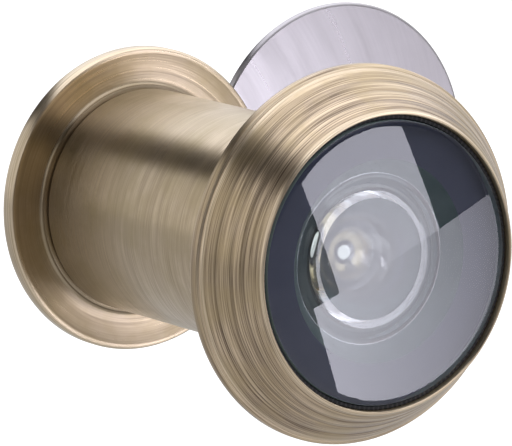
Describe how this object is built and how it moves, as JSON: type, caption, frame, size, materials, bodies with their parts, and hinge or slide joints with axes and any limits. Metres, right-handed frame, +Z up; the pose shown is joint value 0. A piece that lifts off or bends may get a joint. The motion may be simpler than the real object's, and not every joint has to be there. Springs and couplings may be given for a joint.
{
  "type": "door viewer",
  "caption": "Wide-angle brass door viewer: lens half through the door, threaded flange half inside, and a round privacy cover that swings on a rivet.",
  "frame": {"origin": "on the optical axis, halfway along the stretch of barrel between bezel and flange", "axes": "+Y along the optical axis from outdoors into the room, +Z up, +X towards the privacy cover's pivot"},
  "size_m": [0.0691, 0.054, 0.0424],
  "materials": {
    "antique_brass": "brushed antique brass, lacquered",
    "raw_brass": "turned brass, unlacquered",
    "lens_glass": "clear polished glass",
    "black_seal": "matt black",
    "matt_black": "matt black anodised",
    "bright_alloy": "fine turned",
    "cover_steel": "smooth, faintly grained",
    "washer_plastic": "smooth"
  },
  "bodies": {
    "outside_half": {"bezel": "antique_brass", "barrel": "antique_brass", "lens_gasket": "black_seal", "front_lens": "lens_glass", "light_baffle": "matt_black", "lens_cell": "bright_alloy", "second_lens": "lens_glass", "lens_spacer": "bright_alloy", "third_lens": "lens_glass", "cell_retaining_ring": "bright_alloy"},
    "eyepiece": {"eyepiece_cell": "matt_black", "eyepiece_lens": "lens_glass", "eyepiece_retaining_ring": "matt_black"},
    "inside_half": {"threaded_tube": "raw_brass", "flange": "antique_brass", "pivot_rivet": "cover_steel", "spring_washer": "cover_steel", "pivot_washer": "washer_plastic"},
    "cover": {"privacy_cover": "cover_steel"}
  },
  "joints": [
    {"name": "inside_half_travel", "type": "slide", "parent": "outside_half", "child": "eyepiece", "axis": [0, 1, 0], "range_m": [0, 0.045]},
    {"name": "inside_half_turn", "type": "hinge", "parent": "eyepiece", "child": "inside_half", "pos_m": [0, 0, 0], "axis": [0, 1, 0], "range_deg": [0, 10800]},
    {"name": "cover_swivel", "type": "hinge", "parent": "inside_half", "child": "cover", "pos_m": [0.01496, 0.0236, 0.00112], "axis": [0, 1, 0], "continuous": true}
  ],
  "couplings": [
    {"joint": "inside_half_travel", "follows": "inside_half_turn", "m_per_rad": 0.00023873}
  ]
}
